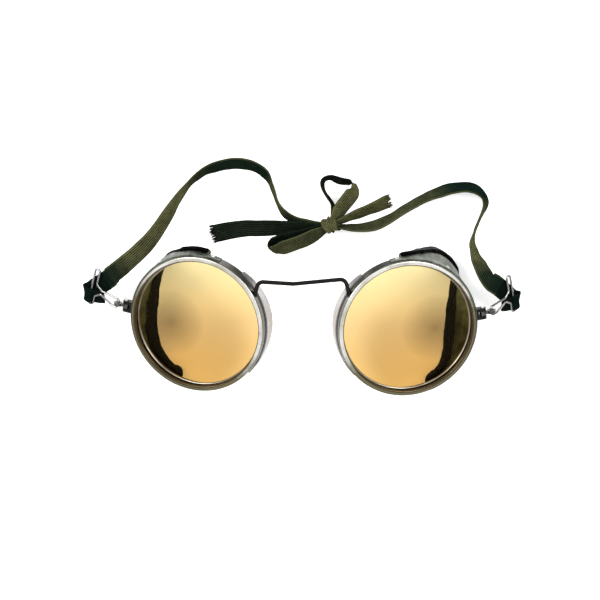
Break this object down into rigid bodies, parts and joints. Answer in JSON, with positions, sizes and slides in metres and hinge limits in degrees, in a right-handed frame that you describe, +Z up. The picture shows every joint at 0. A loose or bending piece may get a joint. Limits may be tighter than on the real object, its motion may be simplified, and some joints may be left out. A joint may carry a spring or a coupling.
{
  "type": "glacier glasses",
  "caption": "Round-lens glacier glasses with wire bridge, leather-bound side shields and a cotton head tape tied in a bow, hung on swivelling wire loops.",
  "frame": {"origin": "on the table, under the middle of the spectacle front (the tape left out)", "axes": "+Z up from the table and out through the lenses, +Y from the cheeks past the brow to the tied tape, +X to the right as seen from the front"},
  "size_m": [0.1683, 0.0893, 0.032],
  "materials": {
    "nickel": "worn nickel plate, soft shine",
    "bright_wire": "bright nickel wire",
    "black_metal": "black enamel, satin",
    "dark_steel": "dark oxidised steel",
    "shield_sheet": "dull sheet, olive-grey",
    "nose_sheet": "plated sheet, satin",
    "leather": "black leather, slightly glossy",
    "amber_glass": "amber mirrored lens, satin",
    "tape": "olive-green woven cotton"
  },
  "bodies": {
    "frame": {"rim_left": "nickel", "lens_left": "amber_glass", "snap_ring_left": "bright_wire", "side_shield_left": "shield_sheet", "shield_binding_left": "leather", "shield_rivets_left": "nickel", "nose_shield_left": "nose_sheet", "endpiece_left": "dark_steel", "hinge_screw_left": "nickel", "tape_run_left": "tape", "tape_tail_left": "tape", "bow_loop_left": "tape", "rim_right": "nickel", "lens_right": "amber_glass", "snap_ring_right": "bright_wire", "side_shield_right": "shield_sheet", "shield_binding_right": "leather", "shield_rivets_right": "nickel", "nose_shield_right": "nose_sheet", "endpiece_right": "dark_steel", "hinge_screw_right": "nickel", "tape_run_right": "tape", "tape_tail_right": "tape", "bow_loop_right": "tape", "bridge_wire": "black_metal", "bow_knot": "tape"},
    "link_left": {"eye_link_left": "dark_steel"},
    "loop_left": {"wire_loop_left": "bright_wire", "tape_fold_left": "tape"},
    "link_right": {"eye_link_right": "dark_steel"},
    "loop_right": {"wire_loop_right": "bright_wire", "tape_fold_right": "tape"}
  },
  "joints": [
    {"name": "hinge_left", "type": "hinge", "parent": "frame", "child": "link_left", "pos_m": [-0.06664, 0.00343, 0.01391], "axis": [-0.1286, -0.9303, -0.3436], "range_deg": [-15, 50]},
    {"name": "loop_swivel_left", "type": "hinge", "parent": "link_left", "child": "loop_left", "pos_m": [-0.06992, 0.0041, 0.01332], "axis": [-0.2534, -0.8965, -0.3634], "range_deg": [-44, 36]},
    {"name": "hinge_right", "type": "hinge", "parent": "frame", "child": "link_right", "pos_m": [0.06904, 0.00343, 0.01391], "axis": [-0.1286, 0.9303, 0.3436], "range_deg": [-15, 50]},
    {"name": "loop_swivel_right", "type": "hinge", "parent": "link_right", "child": "loop_right", "pos_m": [0.07232, 0.0041, 0.01332], "axis": [-0.1956, 0.9142, 0.3549], "range_deg": [-68, 12]}
  ]
}
